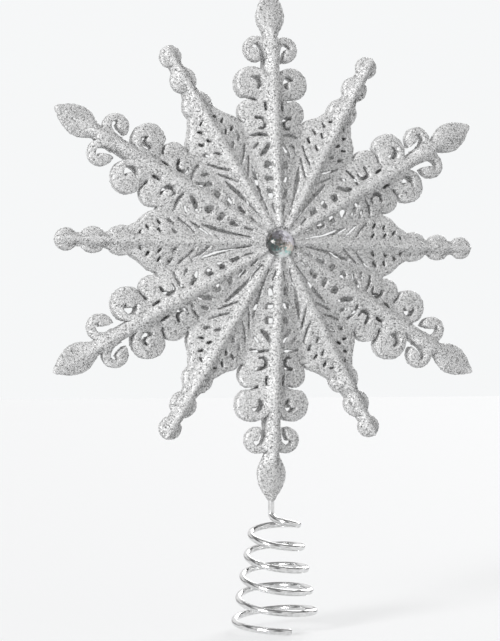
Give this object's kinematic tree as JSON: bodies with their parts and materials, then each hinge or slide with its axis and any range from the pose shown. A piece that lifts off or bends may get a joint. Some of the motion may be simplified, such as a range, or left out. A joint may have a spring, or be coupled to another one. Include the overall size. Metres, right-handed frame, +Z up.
{
  "type": "snowflake tree topper",
  "caption": "Openwork snowflake star with scrolled and beaded arms and a round stone on each face, held by a wire stem on a conical coil that slips over a tree's top shoot.",
  "frame": {"origin": "centre of the wire coil's open lower end, in the plane of its lowest point, where it goes over the tree's top shoot", "axes": "+Z up along the coil's axis to the star, -Y towards the star's front face, +X to the right seen from the front"},
  "size_m": [0.1906, 0.0377, 0.2741],
  "materials": {
    "front_glitter": "silver glitter over moulded plastic",
    "rear_glitter": "silver glitter over moulded plastic",
    "front_stone": "clear faceted stone with a silvered back",
    "rear_stone": "clear faceted stone with a silvered back",
    "wire": "bright plated round steel wire"
  },
  "bodies": {
    "grip": {"coil_grip": "wire"},
    "middle": {"coil_middle": "wire"},
    "star": {"front_snowflake": "front_glitter", "rear_snowflake": "rear_glitter", "front_stone": "front_stone", "rear_stone": "rear_stone", "wire_stem": "wire"}
  },
  "joints": [
    {"name": "side_sway", "type": "hinge", "parent": "grip", "child": "middle", "pos_m": [0, 0.01363, 0.02589], "axis": [0, 1, 0], "range_deg": [-10, 10], "stiffness_Nm_per_rad": 1.3},
    {"name": "nod", "type": "hinge", "parent": "middle", "child": "star", "pos_m": [0.01145, 0, 0.0351], "axis": [1, 0, 0], "range_deg": [-10, 10], "stiffness_Nm_per_rad": 1.3}
  ]
}
